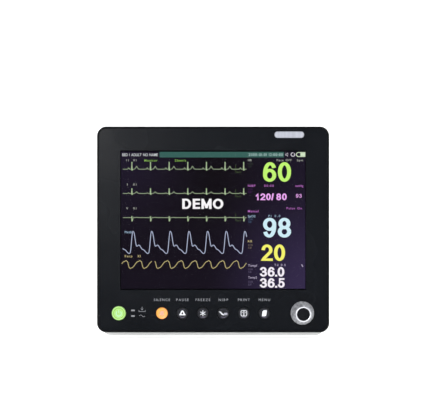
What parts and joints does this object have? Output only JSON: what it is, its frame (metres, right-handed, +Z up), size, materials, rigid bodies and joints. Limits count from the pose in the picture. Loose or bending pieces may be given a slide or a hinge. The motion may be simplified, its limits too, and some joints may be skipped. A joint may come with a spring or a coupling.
{
  "type": "patient monitor",
  "caption": "Bedside patient monitor with a flat black front panel, display, key row, rotary knob, folding carry handle, recorder and sensor sockets.",
  "frame": {"origin": "on the table, under the centre of the object's box", "axes": "+Z up, the display faces -Y, +X to the right of a person who looks at the display"},
  "size_m": [0.309, 0.17, 0.2816],
  "materials": {
    "black_plastic": "satin moulded",
    "panel_film": "glossy",
    "clear_acrylic": "clear",
    "display": "dark display",
    "housing_plastic": "fine texture",
    "green_key": "translucent green",
    "orange_key": "translucent orange",
    "black_key": "satin",
    "alarm_plastic": "frosted translucent",
    "light_pipe": "frosted",
    "knob_metal": "bead blasted, diamond cut edge",
    "steel": "plated sheet",
    "screw_steel": "zinc plated",
    "brass": "turned",
    "rubber": "matte",
    "dark_plastic": "moulded",
    "grey_plastic": "moulded",
    "blue_plastic": "moulded",
    "circuit_board": "solder mask",
    "aluminium": "anodised",
    "battery_wrap": "shrink wrap",
    "paper": "smooth paper",
    "silicone": "matte translucent"
  },
  "bodies": {
    "monitor": {"front_bezel": "black_plastic", "front_overlay": "panel_film", "display_window": "clear_acrylic", "lcd_panel": "display", "lcd_frame": "steel", "lcd_bracket": "steel", "inner_screws": "screw_steel", "alarm_lens": "alarm_plastic", "alarm_board": "circuit_board", "indicator_light_pipes": "light_pipe", "keypad_board": "circuit_board", "key_switches": "dark_plastic", "encoder_body": "steel", "encoder_nut": "screw_steel", "mid_frame": "black_plastic", "seal_gasket": "rubber", "rear_housing": "housing_plastic", "housing_screws": "screw_steel", "handle_pins": "screw_steel", "feet": "rubber", "mount_inserts": "brass", "chassis_plate": "steel", "main_board": "circuit_board", "parameter_board": "circuit_board", "power_supply": "steel", "nibp_pump": "dark_plastic", "nibp_tube": "silicone", "battery_tray": "steel", "battery_pack": "battery_wrap", "recorder_bay": "grey_plastic", "door_pins": "screw_steel", "print_head": "dark_plastic", "sensor_panel": "grey_plastic", "ecg_socket": "blue_plastic", "spo2_socket": "blue_plastic", "nibp_port": "aluminium", "temp_sockets": "dark_plastic", "rear_panel": "steel", "mains_inlet": "dark_plastic", "fuse_holders": "dark_plastic", "ground_post": "brass", "data_sockets": "steel", "speaker": "dark_plastic"},
    "power_key": {"power_key": "green_key"},
    "silence_key": {"silence_key": "orange_key"},
    "pause_key": {"pause_key": "black_key"},
    "freeze_key": {"freeze_key": "black_key"},
    "nibp_key": {"nibp_key": "black_key"},
    "print_key": {"print_key": "black_key"},
    "menu_key": {"menu_key": "black_key"},
    "encoder_push": {"encoder_slider": "grey_plastic"},
    "knob": {"encoder_shaft": "screw_steel", "knob_body": "knob_metal", "knob_cap": "dark_plastic"},
    "handle": {"carry_handle": "grey_plastic"},
    "recorder_door": {"recorder_door": "housing_plastic"},
    "platen": {"platen_roller": "rubber"},
    "paper": {"paper_roll": "paper"},
    "recorder_latch": {"recorder_latch": "grey_plastic"},
    "battery_door": {"battery_door": "housing_plastic"}
  },
  "joints": [
    {"name": "power_press", "type": "slide", "parent": "monitor", "child": "power_key", "axis": [0, 1, 0], "range_m": [0, 0.0008], "stiffness_N_per_m": 1000, "springref_m": -0.0006},
    {"name": "silence_press", "type": "slide", "parent": "monitor", "child": "silence_key", "axis": [0, 1, 0], "range_m": [0, 0.0008], "stiffness_N_per_m": 1000, "springref_m": -0.0006},
    {"name": "pause_press", "type": "slide", "parent": "monitor", "child": "pause_key", "axis": [0, 1, 0], "range_m": [0, 0.0008], "stiffness_N_per_m": 1000, "springref_m": -0.0006},
    {"name": "freeze_press", "type": "slide", "parent": "monitor", "child": "freeze_key", "axis": [0, 1, 0], "range_m": [0, 0.0008], "stiffness_N_per_m": 1000, "springref_m": -0.0006},
    {"name": "nibp_press", "type": "slide", "parent": "monitor", "child": "nibp_key", "axis": [0, 1, 0], "range_m": [0, 0.0008], "stiffness_N_per_m": 1000, "springref_m": -0.0006},
    {"name": "print_press", "type": "slide", "parent": "monitor", "child": "print_key", "axis": [0, 1, 0], "range_m": [0, 0.0008], "stiffness_N_per_m": 1000, "springref_m": -0.0006},
    {"name": "menu_press", "type": "slide", "parent": "monitor", "child": "menu_key", "axis": [0, 1, 0], "range_m": [0, 0.0008], "stiffness_N_per_m": 1000, "springref_m": -0.0006},
    {"name": "knob_push", "type": "slide", "parent": "monitor", "child": "encoder_push", "axis": [0, 1, 0], "range_m": [0, 0.0008], "stiffness_N_per_m": 2500, "springref_m": -0.0008},
    {"name": "knob_turn", "type": "hinge", "parent": "encoder_push", "child": "knob", "pos_m": [0.1185, -0.074, 0.0337], "axis": [0, 1, 0], "continuous": true},
    {"name": "handle_fold", "type": "hinge", "parent": "monitor", "child": "handle", "pos_m": [0, 0.008, 0.2666], "axis": [1, 0, 0], "range_deg": [0, 90]},
    {"name": "recorder_door_drop", "type": "hinge", "parent": "monitor", "child": "recorder_door", "pos_m": [0.1435, 0.014, 0.1691], "axis": [0, 1, 0], "range_deg": [0, 78]},
    {"name": "paper_turn", "type": "hinge", "parent": "monitor", "child": "paper", "pos_m": [0.118, 0.014, 0.1916], "axis": [0, 1, 0], "continuous": true},
    {"name": "platen_turn", "type": "hinge", "parent": "recorder_door", "child": "platen", "pos_m": [0.1386, 0.014, 0.2216], "axis": [0, 1, 0], "continuous": true},
    {"name": "latch_press", "type": "slide", "parent": "monitor", "child": "recorder_latch", "axis": [-1, 0, 0], "range_m": [0, 0.0015], "stiffness_N_per_m": 800, "springref_m": -0.0008},
    {"name": "battery_door_drop", "type": "hinge", "parent": "monitor", "child": "battery_door", "pos_m": [0.1435, 0.014, 0.0691], "axis": [0, 1, 0], "range_deg": [0, 80]}
  ],
  "couplings": [
    {"joint": "platen_turn", "follows": "paper_turn", "ratio": -3.8}
  ]
}
